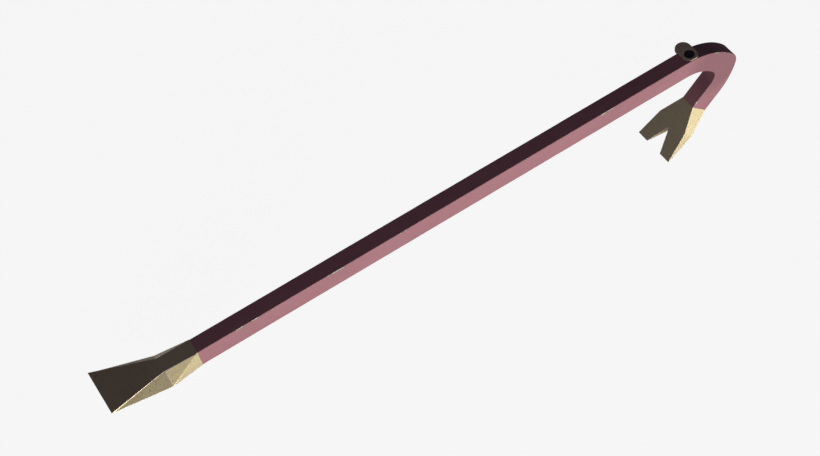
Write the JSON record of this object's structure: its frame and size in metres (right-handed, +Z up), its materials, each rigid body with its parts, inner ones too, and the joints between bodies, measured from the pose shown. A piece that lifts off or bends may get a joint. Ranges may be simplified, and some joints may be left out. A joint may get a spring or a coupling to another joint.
{
  "type": "gooseneck rescue bar",
  "caption": "Rectangular steel pry bar with a swept flat chisel at one end and a gooseneck hook ending in a V-notched claw, with a round-ended heel plate on the back of the bend.",
  "frame": {"origin": "on the floor, under the middle of the tool as it rests on its chisel heel and claw tips", "axes": "+X from the chisel towards the hook, +Y across the bar, +Z up from the floor"},
  "size_m": [0.7628, 0.0536, 0.1377],
  "materials": {
    "maroon_enamel": "dusty maroon enamel over forged steel, satin, worn at the edges",
    "tempered_steel": "ground and straw-tempered tool steel",
    "dark_steel": "dark oxide steel plate",
    "black_enamel": "black enamelled badge, plain",
    "pin_steel": "bare steel pin, end dressed flush",
    "rivet_steel": "bare steel rivet"
  },
  "bodies": {
    "root": {"badge": "black_enamel", "chisel_head": "tempered_steel", "chisel_pin_1": "pin_steel", "chisel_pin_2": "pin_steel", "claw_head": "tempered_steel", "claw_pin_1": "pin_steel", "claw_pin_2": "pin_steel", "heel_plate": "dark_steel", "plate_rivet_1": "rivet_steel", "plate_rivet_2": "rivet_steel", "shaft": "maroon_enamel"}
  },
  "joints": []
}
